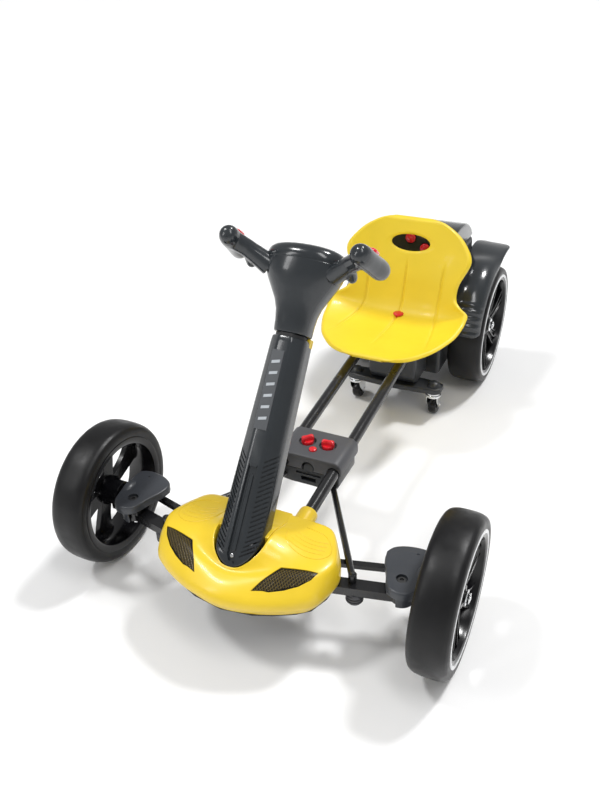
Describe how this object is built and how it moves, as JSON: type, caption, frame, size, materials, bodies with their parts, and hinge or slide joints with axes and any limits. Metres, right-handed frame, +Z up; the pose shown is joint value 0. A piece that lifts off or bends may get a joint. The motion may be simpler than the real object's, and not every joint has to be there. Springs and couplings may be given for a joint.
{
  "type": "pedal go kart",
  "caption": "Ride-on go kart with a bucket seat, steering column with side grips, hooded front axle, clamped frame tubes, rear drive box and casters.",
  "frame": {"origin": "on the ground under the middle of the kart's bounding box", "axes": "+Z up; -Y is the kart's front and +Y its rear; +X is to the right when the kart is seen from the front, its rider's left"},
  "size_m": [0.616, 1.063, 0.5437],
  "materials": {
    "tyre": "satin smooth rubber",
    "wheel_plastic": "satin moulded plastic",
    "yellow_shell": "glossy injection-moulded plastic",
    "graphite_shell": "blue-grey gloss plastic",
    "grey_plastic": "matte textured grey plastic",
    "cover_plastic": "matte dark grey plastic",
    "black_steel": "gloss black powder coat",
    "chrome": "polished chrome plate",
    "red_plastic": "gloss red plastic",
    "lamp_mesh": "dark amber mesh lens",
    "rubber": "matte black rubber",
    "label": "plain satin label panel",
    "battery_case": "matte shrink-wrapped case"
  },
  "bodies": {
    "front_frame": {"front_beam": "black_steel", "kingpins": "chrome", "bump_feet": "rubber", "column_foot": "black_steel", "column_sleeve": "graphite_shell", "column_panel": "label", "neck_collar": "yellow_shell", "hood": "yellow_shell", "hood_tray": "cover_plastic", "lamp_left": "lamp_mesh", "lamp_right": "lamp_mesh", "clamp_block": "grey_plastic", "clamp_cover": "grey_plastic", "brace_left": "black_steel", "brace_right": "black_steel"},
    "steering_head": {"steering_shaft": "chrome", "head_shell": "graphite_shell", "head_cap": "graphite_shell", "handle_left": "graphite_shell", "handle_right": "graphite_shell"},
    "power_switch": {"power_button": "red_plastic"},
    "pitman": {"pitman_arm": "black_steel"},
    "tie_rod": {"tie_bar": "black_steel"},
    "clamp_release": {"release_button": "red_plastic"},
    "rear_unit": {"frame_tube_left": "black_steel", "frame_tube_right": "black_steel", "caster_beam": "grey_plastic", "rear_housing": "grey_plastic", "housing_lid": "graphite_shell", "battery_pack": "battery_case", "rear_axle": "chrome", "seat": "yellow_shell", "seat_plug": "red_plastic", "fender_left": "graphite_shell", "fender_right": "graphite_shell"},
    "drive_switch_low": {"drive_button_low": "red_plastic"},
    "drive_switch_high": {"drive_button_high": "red_plastic"},
    "knuckle_left": {"knuckle_left": "black_steel", "knuckle_cover_left": "cover_plastic", "axle_bolt_left": "chrome"},
    "front_wheel_left": {"front_tyre_left": "tyre", "front_rim_left": "wheel_plastic"},
    "rear_wheel_left": {"rear_tyre_left": "tyre", "rear_rim_left": "wheel_plastic"},
    "thumb_throttle_left": {"throttle_left": "red_plastic"},
    "lock_left": {"lock_knob_left": "red_plastic"},
    "caster_left": {"caster_fork_left": "chrome"},
    "caster_roller_left": {"caster_wheel_left": "wheel_plastic"},
    "knuckle_right": {"knuckle_right": "black_steel", "knuckle_cover_right": "cover_plastic", "axle_bolt_right": "chrome"},
    "front_wheel_right": {"front_tyre_right": "tyre", "front_rim_right": "wheel_plastic"},
    "rear_wheel_right": {"rear_tyre_right": "tyre", "rear_rim_right": "wheel_plastic"},
    "thumb_throttle_right": {"throttle_right": "red_plastic"},
    "lock_right": {"lock_knob_right": "red_plastic"},
    "caster_right": {"caster_fork_right": "chrome"},
    "caster_roller_right": {"caster_wheel_right": "wheel_plastic"}
  },
  "joints": [
    {"name": "steering_turn", "type": "hinge", "parent": "front_frame", "child": "steering_head", "pos_m": [0, -0.46055, 0.1466], "axis": [0, 0.606, 0.7955], "range_deg": [-35, 35]},
    {"name": "pitman_swing", "type": "hinge", "parent": "front_frame", "child": "pitman", "pos_m": [0, -0.46055, 0.1466], "axis": [0, 0, 1], "range_deg": [-28, 28]},
    {"name": "tie_bar_swing", "type": "hinge", "parent": "pitman", "child": "tie_rod", "pos_m": [0, -0.41255, 0.108], "axis": [0, 0, 1], "range_deg": [-28, 28]},
    {"name": "power_press", "type": "slide", "parent": "steering_head", "child": "power_switch", "axis": [0, -0.606, -0.7955], "range_m": [0, 0.002], "stiffness_N_per_m": 400},
    {"name": "knuckle_turn_left", "type": "hinge", "parent": "front_frame", "child": "knuckle_left", "pos_m": [-0.2177, -0.40385, 0.12], "axis": [0, 0, 1], "range_deg": [-28, 28]},
    {"name": "front_wheel_spin_left", "type": "hinge", "parent": "knuckle_left", "child": "front_wheel_left", "pos_m": [-0.2795, -0.38155, 0.115], "axis": [1, 0, 0], "continuous": true},
    {"name": "rear_wheel_spin_left", "type": "hinge", "parent": "rear_unit", "child": "rear_wheel_left", "pos_m": [-0.1197, 0.40505, 0.1265], "axis": [1, 0, 0], "continuous": true},
    {"name": "throttle_press_left", "type": "slide", "parent": "steering_head", "child": "thumb_throttle_left", "axis": [0, -0.606, -0.7955], "range_m": [0, 0.003], "stiffness_N_per_m": 300},
    {"name": "lock_turn_left", "type": "hinge", "parent": "front_frame", "child": "lock_left", "pos_m": [-0.018, -0.18955, 0.16], "axis": [0, 0, 1], "range_deg": [0, 90]},
    {"name": "caster_swivel_left", "type": "hinge", "parent": "rear_unit", "child": "caster_left", "pos_m": [-0.084, 0.20345, 0.05], "axis": [0, 0, 1], "continuous": true},
    {"name": "caster_spin_left", "type": "hinge", "parent": "caster_left", "child": "caster_roller_left", "pos_m": [-0.084, 0.21745, 0.02], "axis": [1, 0, 0], "continuous": true},
    {"name": "knuckle_turn_right", "type": "hinge", "parent": "front_frame", "child": "knuckle_right", "pos_m": [0.2177, -0.40385, 0.12], "axis": [0, 0, 1], "range_deg": [-28, 28]},
    {"name": "front_wheel_spin_right", "type": "hinge", "parent": "knuckle_right", "child": "front_wheel_right", "pos_m": [0.2795, -0.38155, 0.115], "axis": [1, 0, 0], "continuous": true},
    {"name": "rear_wheel_spin_right", "type": "hinge", "parent": "rear_unit", "child": "rear_wheel_right", "pos_m": [0.1197, 0.40505, 0.1265], "axis": [1, 0, 0], "continuous": true},
    {"name": "throttle_press_right", "type": "slide", "parent": "steering_head", "child": "thumb_throttle_right", "axis": [0, -0.606, -0.7955], "range_m": [0, 0.003], "stiffness_N_per_m": 300},
    {"name": "lock_turn_right", "type": "hinge", "parent": "front_frame", "child": "lock_right", "pos_m": [0.018, -0.18955, 0.16], "axis": [0, 0, 1], "range_deg": [0, 90]},
    {"name": "caster_swivel_right", "type": "hinge", "parent": "rear_unit", "child": "caster_right", "pos_m": [0.084, 0.20345, 0.05], "axis": [0, 0, 1], "continuous": true},
    {"name": "caster_spin_right", "type": "hinge", "parent": "caster_right", "child": "caster_roller_right", "pos_m": [0.084, 0.21745, 0.02], "axis": [1, 0, 0], "continuous": true},
    {"name": "release_press", "type": "slide", "parent": "front_frame", "child": "clamp_release", "axis": [0, 0, -1], "range_m": [0, 0.0025], "stiffness_N_per_m": 300},
    {"name": "length_slide", "type": "slide", "parent": "front_frame", "child": "rear_unit", "axis": [0, -0.9956, -0.0941], "range_m": [0, 0.05]},
    {"name": "drive_press_low", "type": "slide", "parent": "rear_unit", "child": "drive_switch_low", "axis": [0, 1, 0], "range_m": [0, 0.0015], "stiffness_N_per_m": 400},
    {"name": "drive_press_high", "type": "slide", "parent": "rear_unit", "child": "drive_switch_high", "axis": [0, 1, 0], "range_m": [0, 0.0015], "stiffness_N_per_m": 400}
  ],
  "couplings": [
    {"joint": "pitman_swing", "follows": "steering_turn", "ratio": 0.8},
    {"joint": "tie_bar_swing", "follows": "steering_turn", "ratio": -0.8},
    {"joint": "knuckle_turn_left", "follows": "steering_turn", "ratio": 0.8},
    {"joint": "knuckle_turn_right", "follows": "steering_turn", "ratio": 0.8}
  ]
}
